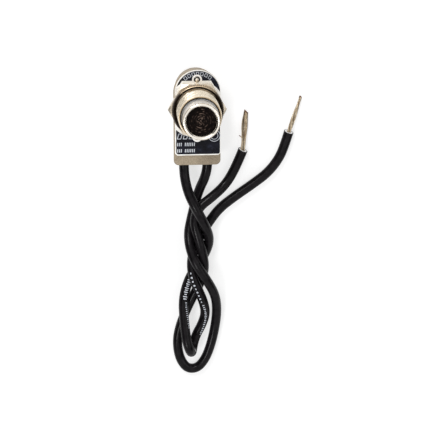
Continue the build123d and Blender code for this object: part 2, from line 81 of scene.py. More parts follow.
LEFT_ROUTE = [
    (-3.5, -12.2, -8.4), (-3.5, -17.0, -8.4), (-3.3, -21.0, -7.8), (-2.3, -25.2, -6.2),
    (-0.1, -29.5, -4.8), (2.3, -34.3, -5.7), (4.0, -39.5, -8.7), (2.5, -44.9, -10.9),
    (-0.9, -49.6, -10.9), (-2.9, -53.9, -10.4), (-3.9, -58.0, -8.8), (-3.8, -62.2, -7.7),
    (-3.5, -66.1, -6.6), (-3.1, -69.5, -5.4), (-2.2, -72.4, -5.3), (-1.4, -73.9, -8.1),
    (-0.9, -72.3, -10.9), (0.0, -69.3, -10.9), (1.7, -66.0, -10.6), (2.7, -62.2, -9.6),
    (2.0, -58.3, -8.3), (0.5, -54.4, -7.4), (-1.2, -50.2, -7.4), (-1.5, -46.0, -9.0),
    (-0.4, -42.2, -10.6), (1.7, -38.3, -10.9), (3.9, -34.7, -10.9), (6.8, -30.8, -10.9),
    (11.2, -27.4, -10.9), (16.3, -23.9, -10.9), (20.8, -20.5, -10.9), (23.9, -16.4, -10.9),
    (25.5, -12.4, -10.9), (26.5, -9.0, -10.9),
]
RIGHT_ROUTE = [
    (3.3, -12.2, -8.4), (3.3, -17.0, -8.4), (2.6, -21.0, -9.0), (1.0, -25.0, -10.7),
    (-0.3, -29.5, -10.9), (-1.3, -33.7, -10.9), (-2.3, -37.8, -9.5), (-1.9, -41.9, -7.2),
    (-0.2, -46.1, -5.6), (2.8, -50.8, -5.7), (5.4, -56.1, -8.0), (6.1, -61.7, -10.2),
    (5.5, -67.4, -10.9), (4.3, -72.7, -10.9), (2.7, -77.0, -10.9), (0.4, -79.9, -10.9),
    (-2.6, -80.0, -10.9), (-4.6, -77.3, -10.9), (-5.5, -73.6, -10.9), (-5.5, -69.4, -10.9),
    (-4.1, -64.4, -10.9), (-1.6, -58.6, -10.9), (1.0, -53.7, -10.6), (2.4, -48.4, -8.4),
    (1.7, -43.0, -7.1), (0.3, -38.2, -7.2), (-0.8, -33.6, -7.7), (0.7, -29.6, -8.2),
    (4.6, -26.9, -9.0), (8.6, -23.7, -10.5), (11.4, -19.0, -10.9), (13.4, -14.0, -10.9),
]
LEFT_TIP = (29.97, 1.55, -11.7)
RIGHT_TIP = (14.55, -2.30, -11.8)


# Camera, matched to the photograph: its place in millimetres and its focal length in pixels
CAMERA_PLACE = (-27.2957, 82.9708, 386.5470)
CAMERA_BACK = (-0.0790909, 0.27887792, 0.95706412)
SENSOR_WIDTH = 36.0
FOCAL_PIXELS = 1443.79
HALF_PICTURE = 215.0

back = Vector(CAMERA_BACK).normalized()
right = Vector((0, 1, 0)).cross(back).normalized()
above = back.cross(right)
place = Vector(CAMERA_PLACE) * MM
camera_data = bpy.data.cameras.new("camera")
camera_data.sensor_width = SENSOR_WIDTH
camera_data.lens = SENSOR_WIDTH / 2 * FOCAL_PIXELS / HALF_PICTURE
camera_data.clip_start = 0.01
camera_data.clip_end = 20.0
camera = bpy.data.objects.new("camera", camera_data)
camera.matrix_world = Matrix((
    (right.x, above.x, back.x, place.x),
    (right.y, above.y, back.y, place.y),
    (right.z, above.z, back.z, place.z),
    (0, 0, 0, 1),
))
bpy.context.scene.collection.objects.link(camera)
bpy.context.scene.camera = camera
bpy.context.scene.view_settings.view_transform = "Standard"


# Materials
TURNED_RINGS = 52000.0
TURNED_LINES = 61000.0
INSERT_RINGS = 10500.0
# Painted shade: the near-black tone that darkens the left and right sides of the ring nut's face and sunk
# thread.
PAINTED_SIDE_SHADE = (0.030, 0.022, 0.015)


class Material:
    """Principled material with short helpers for procedural detail in the part's own coordinates."""

    def __init__(self, name, colour, metallic=0.0, roughness=0.5, specular=0.5):
        self.material = bpy.data.materials.new(name)
        self.material.use_nodes = True
        self.tree = self.material.node_tree
        self.shader = self.tree.nodes["Principled BSDF"]
        self.shader.inputs["Base Color"].default_value = (*colour, 1)
        self.shader.inputs["Metallic"].default_value = metallic
        self.shader.inputs["Roughness"].default_value = roughness
        self.shader.inputs["Specular IOR Level"].default_value = specular
        self.place = self.tree.nodes.new("ShaderNodeTexCoord").outputs["Object"]
        self.normal = None

    def node(self, kind, **values):
        made = self.tree.nodes.new(kind)
        for key, value in values.items():
            setattr(made, key, value)
        return made

    def link(self, output, target):
        self.tree.links.new(output, target)

    def noise(self, scale, detail=3.0, roughness=0.5, stretch=None):
        """Noise value at a scale per metre, stretched along an axis if asked."""
        made = self.node("ShaderNodeTexNoise")
        made.inputs["Scale"].default_value = scale
        made.inputs["Detail"].default_value = detail
        made.inputs["Roughness"].default_value = roughness
        source = self.place
        if stretch:
            mapping = self.node("ShaderNodeMapping")
            mapping.inputs["Scale"].default_value = stretch
            self.link(self.place, mapping.inputs["Vector"])
            source = mapping.outputs["Vector"]
        self.link(source, made.inputs["Vector"])
        return made.outputs["Fac"]

    def ramp(self, value, *stops):
        """Colour picked by a value between stops of place and colour."""
        made = self.node("ShaderNodeValToRGB")
        elements = made.color_ramp.elements
        while len(elements) < len(stops):
            elements.new(0.5)
        for element, (position, colour) in zip(elements, stops):
            element.position = position
            element.color = (*colour, 1)
        self.link(value, made.inputs["Fac"])
        return made.outputs["Color"]

    def grey(self, value, low, high, start=0.3, end=0.7):
        """Value moved from the range start to end into the range low to high."""
        made = self.node("ShaderNodeMapRange")
        made.inputs["From Min"].default_value = start
        made.inputs["From Max"].default_value = end
        made.inputs["To Min"].default_value = low
        made.inputs["To Max"].default_value = high
        self.link(value, made.inputs["Value"])
        return made.outputs["Result"]

    def math(self, operation, first, second=None):
        made = self.node("ShaderNodeMath", operation=operation)
        for slot, value in zip(made.inputs, (first, second)):
            if isinstance(value, (int, float)):
                slot.default_value = value
            elif value is not None:
                self.link(value, slot)
        return made.outputs["Value"]

    def mix(self, share, first, second, blend="MIX"):
        made = self.node("ShaderNodeMix", data_type="RGBA", blend_type=blend)
        for name, value in (("Factor_Float", share), ("A_Color", first), ("B_Color", second)):
            slot = next(s for s in made.inputs if s.identifier == name)
            if isinstance(value, (int, float)):
                slot.default_value = value
            elif isinstance(value, tuple):
                slot.default_value = (*value, 1)
            else:
                self.link(value, slot)
        return next(s for s in made.outputs if s.identifier == "Result_Color")

    def colour(self, output):
        self.link(output, self.shader.inputs["Base Color"])

    def roughness(self, output):
        self.link(output, self.shader.inputs["Roughness"])

    def bump(self, height, strength, distance):
        made = self.node("ShaderNodeBump")
        made.inputs["Strength"].default_value = strength
        made.inputs["Distance"].default_value = distance
        self.link(height, made.inputs["Height"])
        if self.normal:
            self.link(self.normal, made.inputs["Normal"])
        self.normal = made.outputs["Normal"]
        self.link(self.normal, self.shader.inputs["Normal"])

    def axes(self):
        made = self.node("ShaderNodeSeparateXYZ")
        self.link(self.place, made.inputs["Vector"])
        return made.outputs["X"], made.outputs["Y"], made.outputs["Z"]

    def side(self):
        """0 near the plane x = 0 and 1 towards both sides, with an uneven edge: the mask of the painted
        shade on the sides.
        """
        distance = self.math("ABSOLUTE", self.axes()[0])
        ragged = self.math("ADD", distance, self.grey(self.noise(420, 3), -0.0008, 0.0008))
        return self.grey(ragged, 0.0, 1.0, 0.0030, 0.0056)

    def radius(self, centre_y=0.0):
        """Distance from an axis along Z that stands at x = 0 and the given y."""
        x, y, _ = self.axes()
        dy = self.math("SUBTRACT", y, centre_y)
        squares = self.math("ADD", self.math("MULTIPLY", x, x), self.math("MULTIPLY", dy, dy))
        return self.math("SQRT", squares)


def tan_moulding():
    """Phenolic body: khaki with fine flecks, a slight skin texture and the line where the halves meet."""
    m = Material("tan_moulding", (0.34, 0.28, 0.20), roughness=0.6, specular=0.35)
    cloud = m.ramp(m.noise(350, 4), (0.3, (0.315, 0.257, 0.184)), (0.7, (0.385, 0.318, 0.232)))
    flecks = m.ramp(m.noise(5200, 2), (0.36, (0.66, 0.64, 0.62)), (0.5, (1.0, 1.0, 1.0)),
                    (0.72, (1.16, 1.15, 1.12)))
    seam = m.math("ABSOLUTE", m.math("SUBTRACT", m.axes()[2], SPLIT_LEVEL * MM))
    seam = m.grey(seam, 0.0, 1.0, 0.00003, 0.00009)
    m.colour(m.mix(seam, (0.11, 0.09, 0.06), m.mix(1.0, cloud, flecks, "MULTIPLY")))
    m.roughness(m.grey(m.noise(900, 3), 0.50, 0.70))
    m.bump(m.noise(4200, 3), 0.25, 0.00004)
    m.bump(seam, 0.8, 0.00008)
    return m.material


def metal(name, dark, light, low, high, turned=False, metallic=1.0, side_shade=None, scratch=0.1):
    """Plated metal with slow tone changes and faint scratches, turned rings if asked, and painted shade
    that darkens its left and right sides if asked.
    """
    m = Material(name, light, metallic=metallic, roughness=low)
    tone = m.ramp(m.noise(520, 4), (0.32, dark), (0.68, light))
    if side_shade:
        tone = m.mix(m.side(), tone, side_shade)
    m.colour(tone)
    m.roughness(m.grey(m.noise(1400, 4), low, high))
    if turned:
        rings = m.math("SINE", m.math("MULTIPLY", m.radius(), TURNED_RINGS))
        lines = m.math("SINE", m.math("MULTIPLY", m.axes()[2], TURNED_LINES))
        m.bump(m.math("ADD", rings, lines), 0.08, 0.00001)
    m.bump(m.noise(1600, 5, stretch=(1.0, 6.0, 6.0)), scratch, 0.00002)
    return m.material


def wall_metal():
    """Side wall of the button: satin nickel, with painted light that makes it paler on the side towards the
    body's half-round end.
    """
    m = Material("button_wall_nickel", (0.7, 0.68, 0.64), metallic=0.55, roughness=0.22)
    cloud = m.noise(520, 4)
    plain = m.ramp(cloud, (0.32, (0.36, 0.335, 0.295)), (0.68, (0.58, 0.55, 0.50)))
    pale = m.ramp(cloud, (0.32, (0.86, 0.845, 0.82)), (0.68, (0.94, 0.93, 0.91)))
    # Painted light: the side towards +y takes the pale copy of the tones.
    m.colour(m.mix(m.grey(m.axes()[1], 0.0, 1.0, 0.0008, 0.0034), plain, pale))
    m.roughness(m.grey(m.noise(1400, 4), 0.16, 0.28))
    m.bump(m.math("SINE", m.math("MULTIPLY", m.axes()[2], TURNED_LINES)), 0.08, 0.00001)
    m.bump(m.noise(1600, 5, stretch=(1.0, 6.0, 6.0)), 0.06, 0.00002)
    return m.material


def knurl_metal():
    """The knurled edge: brass-toned on the crests and darker down in the grooves, which is painted shade. A
    darker copy of these tones on the left and right sides is painted shade as well.
    """
    m = Material("knurl_metal", (0.3, 0.23, 0.14), metallic=0.6, roughness=0.34)
    depth = m.grey(m.radius(), 0.0, 1.0, 0.00701, 0.00719)
    tone = m.math("MULTIPLY", depth, m.grey(m.noise(3800, 3), 0.75, 1.15))
    lit_knurl_tones = m.ramp(tone, (0.05, (0.12, 0.085, 0.05)), (0.5, (0.44, 0.33, 0.21)), (0.95, (0.66, 0.52, 0.36)))
    shaded_knurl_tones = m.ramp(tone, (0.05, (0.018, 0.012, 0.008)), (0.5, (0.13, 0.093, 0.06)),
                  (0.95, (0.36, 0.265, 0.175)))
    # Painted shade: the left and right sides take the darker copy of the knurl's tones.
    m.colour(m.mix(m.side(), lit_knurl_tones, shaded_knurl_tones))
    m.roughness(m.grey(m.noise(2600, 3), 0.28, 0.5))
    m.bump(m.noise(6000, 3), 0.25, 0.00002)
    return m.material


def thread_metal():
    """Thread flanks: the same plating as the barrel, a little darker towards the roots."""
    m = Material("thread_metal", (0.66, 0.55, 0.40), metallic=0.6, roughness=0.26)
    depth = m.grey(m.radius(), 0.0, 1.0, 0.00556, 0.00590)
    tone = m.math("MULTIPLY", depth, m.grey(m.noise(2600, 3), 0.85, 1.1))
    m.colour(m.ramp(tone, (0.0, (0.31, 0.23, 0.14)), (0.55, (0.66, 0.56, 0.42)), (1.0, (0.81, 0.72, 0.58))))
    m.roughness(m.grey(m.noise(1800, 3), 0.22, 0.36))
    m.bump(m.noise(5200, 3), 0.12, 0.00001)
    return m.material


def gap_shade_metal():
    """Painted shade: near-black in the gap round the button and in the sunk thread of the ring nut, where
    shade falls.
    """
    m = Material("gap_shade_metal", (0.03, 0.02, 0.01), metallic=0.4, roughness=0.55, specular=0.2)
    m.colour(m.ramp(m.noise(1800, 4), (0.3, (0.004, 0.0022, 0.0010)), (0.75, (0.022, 0.012, 0.0055))))
    m.roughness(m.grey(m.noise(2600, 3), 0.45, 0.65))
    m.bump(m.noise(5200, 3), 0.2, 0.00002)
    return m.material


def rivet_metal(name, centre_y):
    """Rivet head: bright in the middle, with painted shade round its upper edge."""
    m = Material(name, (0.8, 0.77, 0.7), metallic=1.0, roughness=0.25)
    edge = m.grey(m.radius(centre_y), 0.0, 1.0, 0.00036, 0.00050)
    upper = m.grey(m.axes()[1], 0.10, 1.0, centre_y - 0.00055, centre_y - 0.00025)
    # Painted shade: dark round the upper edge of the dome, fading out below.
    edge_shade = m.math("MULTIPLY", m.math("MULTIPLY", edge, upper), m.grey(m.noise(5200, 3), 0.8, 1.0))
    m.colour(m.ramp(edge_shade, (0.0, (0.60, 0.54, 0.46)), (0.35, (0.30, 0.27, 0.22)),
                    (0.9, (0.022, 0.020, 0.018))))
    m.roughness(m.grey(m.noise(3200, 3), 0.22, 0.4))
    m.bump(m.noise(5200, 3), 0.12, 0.00001)
    return m.material


def black_print():
    """Black ink on the plate: slightly uneven and bluish, with faint specks where the metal shows."""
    m = Material("black_print", (0.010, 0.010, 0.013), roughness=0.42, specular=0.10)
    cloud = m.ramp(m.noise(620, 5, 0.6), (0.40, (0.0045, 0.0045, 0.007)), (0.62, (0.011, 0.012, 0.020)),
                   (0.78, (0.030, 0.033, 0.055)))
    specks = m.grey(m.noise(7800, 2), 0.0, 0.4, 0.66, 0.76)
    m.colour(m.mix(specks, cloud, (0.13, 0.14, 0.18)))
    m.roughness(m.grey(m.noise(2600, 3), 0.34, 0.55))
    m.bump(m.noise(5200, 3), 0.2, 0.00001)
    return m.material


def dark_insert():
    """Moulded insert: brown-black, with pale specks near the middle and short pale traces along its turned
    rings, kept to a band along x = 0 as a painted reflection.
    """
    m = Material("dark_insert", (0.01, 0.006, 0.005), roughness=0.36, specular=0.04)
    radius = m.radius()
    cloud = m.ramp(m.noise(1300, 4), (0.35, (0.0020, 0.0010, 0.0008)), (0.72, (0.0065, 0.0036, 0.0028)))
    middle = m.grey(radius, 1.0, 0.0, 0.0004, 0.0016)
    specks = m.math("MULTIPLY", m.grey(m.noise(2300, 3, 0.6), 0.0, 1.0, 0.55, 0.66), middle)
    # Painted reflection: the pale traces along the rings show only in a band along x = 0.
    sheen_band = m.grey(m.math("ABSOLUTE", m.axes()[0]), 0.55, 0.16, 0.0004, 0.0018)
    rings = m.math("SINE", m.math("MULTIPLY", radius, INSERT_RINGS))
    patches = m.grey(m.noise(1300, 3), 0.0, 1.0, 0.50, 0.64)
    worn = m.math("MULTIPLY", m.grey(rings, 0.0, 1.0, 0.2, 0.95), patches)
    specks_and_sheen = m.math("MAXIMUM", specks, m.math("MULTIPLY", worn, sheen_band))
    m.colour(m.mix(specks_and_sheen, cloud, (0.27, 0.19, 0.15)))
    m.roughness(m.grey(m.noise(2400, 3), 0.28, 0.48))
    m.bump(rings, 0.22, 0.00003)
    m.bump(m.noise(3400, 4, 0.6), 0.3, 0.00003)
    return m.material


def black_insulation():
    """Wire insulation: black vinyl with a fine skin and a soft narrow shine."""
    m = Material("black_insulation", (0.010, 0.010, 0.011), roughness=0.2, specular=0.10)
    m.colour(m.ramp(m.noise(700, 4), (0.35, (0.0040, 0.0034, 0.0040)), (0.7, (0.0110, 0.0092, 0.0108))))
    m.roughness(m.grey(m.noise(1500, 4), 0.14, 0.26))
    m.bump(m.noise(2400, 4), 0.15, 0.00003)
    return m.material


def white_insulation():
    """Inner layer of the insulation, seen on the cut face: off-white with knife marks."""
    m = Material("white_insulation", (0.9, 0.9, 0.89), roughness=0.6)
    m.colour(m.ramp(m.noise(2600, 3), (0.35, (0.90, 0.90, 0.90)), (0.7, (0.97, 0.97, 0.97))))
    m.bump(m.noise(3200, 3, stretch=(1.0, 5.0, 1.0)), 0.3, 0.00002)
    return m.material


def strand_metal(name, share):
    """Tinned copper strand: grey-tan tin with copper where it is worn. A share under 1 makes a darker copy,
    painted shade for the valleys between strands.
    """
    m = Material(name, (0.44, 0.35, 0.23), metallic=0.85, roughness=0.36)
    stops = ((0.3, (0.37, 0.27, 0.17)), (0.5, (0.52, 0.42, 0.29)), (0.7, (0.66, 0.57, 0.43)))
    m.colour(m.ramp(m.noise(900, 3), *((at, tuple(c * share for c in tone)) for at, tone in stops)))
    m.roughness(m.grey(m.noise(2600, 3), 0.30, 0.44))
    m.bump(m.noise(3800, 2), 0.08, 0.00001)
    return m.material


MATERIALS = {
    "tan": tan_moulding(),
    "nickel": metal("nickel_plate", (0.64, 0.55, 0.42), (0.82, 0.74, 0.62), 0.20, 0.32, metallic=0.8),
    "barrel": metal("barrel_nickel", (0.72, 0.63, 0.50), (0.86, 0.78, 0.66), 0.20, 0.30, turned=True,
                    metallic=0.7),
    "button": metal("button_nickel", (0.80, 0.745, 0.66), (0.89, 0.85, 0.79), 0.20, 0.28, scratch=0.03),
    "wall": wall_metal(),
    "worn": metal("worn_edge", (0.36, 0.26, 0.15), (0.58, 0.45, 0.29), 0.24, 0.36, turned=True,
                  metallic=0.7),
    # The ring nut's face and sunk thread get painted shade on their left and right sides.
    "ring": metal("ring_brass", (0.66, 0.49, 0.31), (0.84, 0.67, 0.46), 0.22, 0.34, turned=True,
                  metallic=0.5, side_shade=PAINTED_SIDE_SHADE),
    "sunk": metal("sunk_thread_brass", (0.70, 0.60, 0.46), (0.86, 0.78, 0.64), 0.24, 0.36, turned=True,
                  metallic=0.5, side_shade=PAINTED_SIDE_SHADE),
    "thread": thread_metal(),
    "knurl": knurl_metal(),
    "gap_shade": gap_shade_metal(),
    "plate": metal("bare_plate", (0.72, 0.70, 0.66), (0.93, 0.92, 0.89), 0.30, 0.44),
    "steel": metal("plated_steel", (0.52, 0.49, 0.43), (0.72, 0.69, 0.62), 0.26, 0.4),
    "brass": metal("contact_brass", (0.56, 0.38, 0.13), (0.78, 0.58, 0.25), 0.26, 0.4),
    "top_rivet": rivet_metal("top_rivet_metal", RIVET_Y * MM),
    "bottom_rivet": rivet_metal("bottom_rivet_metal", -RIVET_Y * MM),
    "print": black_print(),
    "mark": metal("pale_mark", (0.50, 0.53, 0.58), (0.66, 0.69, 0.74), 0.4, 0.55, metallic=0.2),
    "insert": dark_insert(),
    "black": black_insulation(),
    "white": white_insulation(),
    "strand": strand_metal("strand_metal", 1.0),
    "shaded_strand": strand_metal("shaded_strand_metal", 0.42),
    "copper": metal("cut_copper", (0.10, 0.055, 0.035), (0.24, 0.13, 0.08), 0.3, 0.5),
}

NODE_MATERIALS = {
    "housing": "tan", "rear_cover": "tan", "nameplate": "plate", "top_rivet": "top_rivet",
    "bottom_rivet": "bottom_rivet", "bushing": "nickel", "hex_nut": "nickel", "ring_nut": "knurl",
    "button": "button", "button_insert": "insert", "plunger_stem": "steel", "drive_pawl": "steel",
    "return_spring": "steel", "ratchet_drum": "tan", "drum_axle": "steel", "contact_bridge": "brass",
    "left_contact": "brass", "right_contact": "brass", "left_wire": "black", "right_wire": "black",
    "left_conductor": "strand", "right_conductor": "strand", "left_strands": "strand",
    "right_strands": "strand",
}
for name, material in NODE_MATERIALS.items():
    nodes[name].data.materials.clear()
    nodes[name].data.materials.append(MATERIALS[material])


# Mesh helpers

def piece(name, verts, faces, materials, body, indices=None, angle=38):
    """Mesh object from points in millimetres, shaded smooth with sharp edges kept."""
    mesh = bpy.data.meshes.new(name)
    mesh.from_pydata([Vector(v) * MM for v in verts], [], faces)
    for key in materials:
        mesh.materials.append(MATERIALS[key])
    if indices:
        mesh.polygons.foreach_set("material_index", indices)
    mesh.polygons.foreach_set("use_smooth", [True] * len(mesh.polygons))
    bm = bmesh.new()
    bm.from_mesh(mesh)
    bmesh.ops.recalc_face_normals(bm, faces=bm.faces)
    bm.to_mesh(mesh)
    bm.free()
    mesh.set_sharp_from_angle(angle=math.radians(angle))
    obj = bpy.data.objects.new(name, mesh)
    bpy.context.scene.collection.objects.link(obj)
    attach(obj, body)
    return obj


def arc(centre_r, centre_z, radius, start, end, count):
    """Points of a round corner in a turned profile, angles in degrees."""
    angles = [math.radians(start + (end - start) * i / count) for i in range(count + 1)]
    return [(centre_r + radius * math.cos(a), centre_z + radius * math.sin(a)) for a in angles]


def lathe(name, profile, materials, body, segments=128, shape=None, choose=None, angle=38):
    """Turned piece from a closed profile of radius and height.

    shape gives a point's radius at each turn. choose gives a face's material from its two profile points.
    """
    verts, faces, indices = [], [], []
    count = len(profile)
    for i in range(segments):
        turn = 2 * math.pi * i / segments
        for radius, height in profile:
            r = shape(radius, height, turn) if shape else radius
            verts.append((r * math.cos(turn), r * math.sin(turn), height))
    for i in range(segments):
        for j in range(count):
            a, b = i * count, ((i + 1) % segments) * count
            k = (j + 1) % count
            faces.append((a + j, b + j, b + k, a + k))
            indices.append(choose(profile[j], profile[k]) if choose else 0)
    return piece(name, verts, faces, materials, body, indices, angle)


# Bushing with its helical thread
PITCH = 25.4 / 32
THREAD_DEPTH = 0.42
THREAD_STEPS = 96
ROOT_SHARE = 0.09
FLANK_SHARE = 0.33
RIM_TOP = BUSHING_TIP - 0.28
RIM_CORNER = 0.25
LIP_WIDTH = 0.34
LIP_CORNER = 0.15
LIP_LENGTH = 0.6
TINY = 0.001


def thread_shape(radius, height, turn):
    """Radius on the helical thread: flat crest, straight flanks and a narrow root, faded out at its end."""
    if radius < THREAD_RADIUS - TINY or height < -TINY:
        return radius
    phase = (height / PITCH - turn / (2 * math.pi)) % 1.0
    tooth = min(1.0, max(0.0, (abs(phase - 0.5) - ROOT_SHARE) / FLANK_SHARE))
    fade = min(1.0, max(0.0, (BUSHING_TIP - 0.3 - height) / 0.25))
    return radius - THREAD_DEPTH * (1 - tooth) * fade


def barrel_material(first, second):
    """Plain plating, thread, worn front rim or the mouth, which is painted dark as shade."""
    inner, low = min(first[0], second[0]), min(first[1], second[1])
    if inner > THREAD_RADIUS - 0.26:
        return 1
    if low > BUSHING_TIP - 0.01 and inner > MOUTH_RADIUS + 0.33:
        return 2
    if low > BUSHING_TIP - 0.7 and inner > MOUTH_RADIUS - 0.01:
        return 3
    return 0


barrel_profile = [
    (STEM_HOLE, BUSHING_BACK), (FLARE_RADIUS, BUSHING_BACK), (FLARE_RADIUS, FLARE_FRONT),
    (NECK_RADIUS, FLARE_FRONT), (NECK_RADIUS, PLATE_FACE), (UNDER_NUT_RADIUS, PLATE_FACE),
    (UNDER_NUT_RADIUS, -0.002),
]
barrel_profile += [(THREAD_RADIUS, RIM_TOP * i / THREAD_STEPS) for i in range(THREAD_STEPS + 1)]
barrel_profile += arc(THREAD_RADIUS - RIM_CORNER, BUSHING_TIP - RIM_CORNER, RIM_CORNER, 8, 90, 5)
barrel_profile += [(MOUTH_RADIUS + LIP_WIDTH, BUSHING_TIP)]
barrel_profile += arc(MOUTH_RADIUS + LIP_CORNER, BUSHING_TIP - LIP_CORNER, LIP_CORNER, 90, 180, 3)
barrel_profile += [
    (MOUTH_RADIUS, BUSHING_TIP - LIP_LENGTH), (BORE_RADIUS, BUSHING_TIP - LIP_LENGTH),
    (BORE_RADIUS, BORE_FLOOR), (WELL_RADIUS, BORE_FLOOR), (WELL_RADIUS, WELL_FLOOR),
    (STEM_HOLE, WELL_FLOOR),
]
barrel = lathe("threaded_barrel", barrel_profile, ["barrel", "thread", "worn", "gap_shade"], "body",
               segments=144, shape=thread_shape, choose=barrel_material, angle=50)
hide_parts("bushing")


# Ring nut: knurled edge, rounded corners and a sunk bore
RING_SINK = 6.84
SINK_WIDTH = 0.45
RING_BORE = 5.76
REAR_CORNER = 0.4
FRONT_CORNER = 0.44
KNURL_DEPTH = 0.17
KNURL_START = RING_RADIUS - 0.32


def knurl_shape(radius, height, turn):
    """Straight knurl that fades out over the rounded corners."""
    if radius < KNURL_START:
        return radius
    wave = abs((turn * KNURLS / (2 * math.pi)) % 1.0 - 0.5) * 2
    fade = min(1.0, max(0.0, (radius - KNURL_START) / 0.3))
    return radius - KNURL_DEPTH * wave * fade


def ring_material(first, second):
    """Knurled edge, turned face, the rim of the sunk bore painted dark as shade, or the brighter thread
    start inside it.
    """
    outer = max(first[0], second[0])
    if outer < RING_SINK - SINK_WIDTH:
        return 3
    if outer < RING_SINK + 0.01:
        return 2
    return 0 if outer > RING_RADIUS - 0.12 else 1


ring_profile = [(RING_BORE, RING_BACK + 0.02), (6.2, RING_BACK)]
ring_profile += arc(RING_RADIUS - REAR_CORNER, RING_BACK + REAR_CORNER, REAR_CORNER, -90, 0, 6)
ring_profile += [(RING_RADIUS, -1.15), (RING_RADIUS, -0.8)]
ring_profile += arc(RING_RADIUS - FRONT_CORNER, -FRONT_CORNER, FRONT_CORNER, 0, 90, 9)
ring_profile += [(6.26, -0.34), (6.10, -0.44), (5.98, -0.60), (RING_BORE, -0.82)]
ring = lathe("knurled_ring", ring_profile, ["knurl", "ring", "gap_shade", "sunk"], "body",
             segments=KNURLS * 4, shape=knurl_shape, choose=ring_material, angle=60)
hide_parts("ring_nut")


# Button and insert
BUTTON_EDGE = 0.28
WALL_TOP = BUTTON_FRONT - 0.32
WALL_STEPS = 6
INSERT_EDGE = 0.15
INSERT_STEPS = 46
INSERT_PITCH = 0.8


def button_material(first, second):
    """Cup, the thin line of worn plating where its front face starts, or the satin side wall."""
    inner, low = min(first[0], second[0]), min(first[1], second[1])
    if inner > BUTTON_RADIUS - 0.14 and low > BUTTON_FRONT - 0.35:
        return 1
    return 2 if inner > BUTTON_RADIUS - 0.01 else 0


button_profile = [
    (STEM_HOLE, WEB_BACK), (BUTTON_INNER, WEB_BACK), (BUTTON_INNER, BUTTON_FOOT),
    (FOOT_RADIUS, BUTTON_FOOT), (FOOT_RADIUS, FOOT_FRONT), (BUTTON_RADIUS, FOOT_FRONT),
]
button_profile += [(BUTTON_RADIUS, FOOT_FRONT + (WALL_TOP - FOOT_FRONT) * i / WALL_STEPS)
                   for i in range(1, WALL_STEPS + 1)]
button_profile += arc(BUTTON_RADIUS - BUTTON_EDGE, BUTTON_FRONT - BUTTON_EDGE, BUTTON_EDGE, 8, 90, 6)
button_profile += [
    (4.52, BUTTON_FRONT), (4.44, BUTTON_FRONT - 0.03), (4.10, BUTTON_FRONT - 0.38),
    (BUTTON_INNER, BUTTON_FRONT - 0.48), (BUTTON_INNER, WEB_FRONT), (STEM_HOLE, WEB_FRONT),
]
cup = lathe("button_cup", button_profile, ["button", "worn", "wall"], "plunger",
            segments=160, choose=button_material)
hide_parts("button")

insert_profile = [(0.0, WEB_FRONT), (INSERT_RADIUS, WEB_FRONT), (INSERT_RADIUS, INSERT_FACE - INSERT_EDGE)]
insert_profile += arc(INSERT_RADIUS - INSERT_EDGE, INSERT_FACE - INSERT_EDGE, INSERT_EDGE, 0, 90, 3)
for i in range(INSERT_STEPS, 0, -1):
    share = i / INSERT_STEPS
    r = (INSERT_RADIUS - 0.25) * share
    dip = 0.035 * (0.5 + 0.5 * math.cos(2 * math.pi * r / INSERT_PITCH)) + 0.03 * (1 - share)
    insert_profile.append((r, INSERT_FACE - dip))
insert_profile.append((0.0, INSERT_FACE - 0.06))
disc = lathe("insert_disc", insert_profile, ["insert"], "plunger", angle=60)
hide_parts("button_insert")


# Return spring with round wire
SPRING_FLOOR = WELL_FLOOR
SPRING_TOP = WEB_BACK
SPRING_GAP = 0.02
COIL_RADIUS = 3.2
COIL_WIRE = 0.3
COIL_TURNS = 6
COIL_STEPS = COIL_TURNS * 36
COIL_SIDES = 10


def coil():
    """Open coil between the bushing's web and the button's web, right-handed as in the CAD."""
    bottom = SPRING_FLOOR + COIL_WIRE + SPRING_GAP
    rise = SPRING_TOP - COIL_WIRE - SPRING_GAP - bottom
    slope = math.atan2(rise, COIL_TURNS * 2 * math.pi * COIL_RADIUS)
    level, climb = math.cos(slope), math.sin(slope)
    verts, faces = [], []
    for i in range(COIL_STEPS + 1):
        turn = 2 * math.pi * COIL_TURNS * i / COIL_STEPS
        outward = Vector((math.cos(turn), math.sin(turn), 0))
        along = Vector((-math.sin(turn) * level, math.cos(turn) * level, climb))
        raised = outward.cross(along)
        centre = outward * COIL_RADIUS + Vector((0, 0, bottom + rise * i / COIL_STEPS))
        for k in range(COIL_SIDES):
            a = 2 * math.pi * k / COIL_SIDES
            verts.append(centre + outward * COIL_WIRE * math.cos(a) + raised * COIL_WIRE * math.sin(a))
    for i in range(COIL_STEPS):
        for k in range(COIL_SIDES):
            n = (k + 1) % COIL_SIDES
            low, high = i * COIL_SIDES, (i + 1) * COIL_SIDES
            faces.append((low + k, low + n, high + n, high + k))
    faces.append(tuple(reversed(range(COIL_SIDES))))
    faces.append(tuple(COIL_STEPS * COIL_SIDES + k for k in range(COIL_SIDES)))
    return piece("spring_coil", verts, faces, ["steel"], "body")


spring = coil()
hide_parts("return_spring")
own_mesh(spring)


# Plate print: a black layer, the bare places on it, and plain marks
PRINT_FACE = PLATE_FACE + 0.012
MARK_FACE = PLATE_FACE + 0.020
FIELD_LEFT, FIELD_RIGHT, FIELD_TOP, FIELD_BOTTOM = -5.87, 6.36, 10.50, -12.98
FIELD_CORNER = 0.4
WINDOW_X, WINDOW_RADIUS = -0.35, 8.1
FLAT_LEFT, FLAT_RIGHT, FLAT_TOP = -4.2, 3.85, 7.75
RIVET_BARE = 1.38
ARC_X, ARC_Y, ARC_RADIUS = 0.25, 4.4, 5.33
ARC_BAR, ARC_HOLE = (0.82, 1.0), (0.58, 0.76)
ROW_Y = -7.85
ROW_BAR, ROW_HOLE = (1.15, 1.6), (0.79, 1.28)
ROUND_X, ROUND_Y = 4.75, -7.75
SHORT_BAR = (0.24, 0.95)


